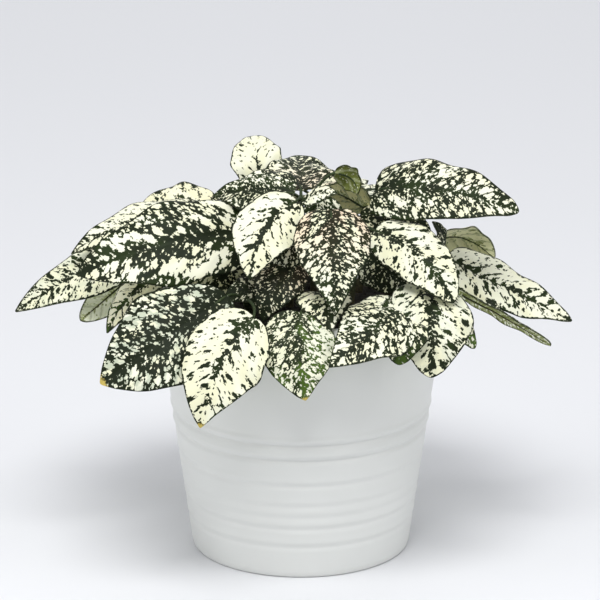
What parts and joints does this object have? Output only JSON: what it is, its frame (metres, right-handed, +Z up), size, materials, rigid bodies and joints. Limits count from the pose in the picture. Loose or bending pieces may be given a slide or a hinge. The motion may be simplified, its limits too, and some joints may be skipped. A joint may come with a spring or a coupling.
{
  "type": "potted polka dot plant",
  "caption": "Bushy houseplant with cream-splashed dark green leaves in a round off-white pot with throwing ribs, for standing on a shelf, sill or table.",
  "frame": {"origin": "middle of the pot's flat foot, on the surface it stands on", "axes": "+Z up along the pot's axis; -Y is the plant's show side; +X is to the right when the show side faces the viewer"},
  "size_m": [0.2463, 0.1802, 0.1782],
  "materials": {
    "pot_glaze": "satin off-white glaze",
    "soil": "moist crumbly potting mix",
    "leaf": "soft satin leaf, dark green splashed with cream"
  },
  "bodies": {
    "root": {"pot": "pot_glaze", "soil": "soil", "crown_stem": "leaf", "centre_stem": "leaf", "right_stem": "leaf", "far_right_stem": "leaf", "left_stem": "leaf", "far_left_stem": "leaf", "front_left_stem": "leaf", "front_stem": "leaf", "front_right_stem": "leaf", "back_left_stem": "leaf", "back_stem": "leaf", "back_right_stem": "leaf", "back_low_stem": "leaf", "back_low_left_stem": "leaf"}
  },
  "joints": []
}
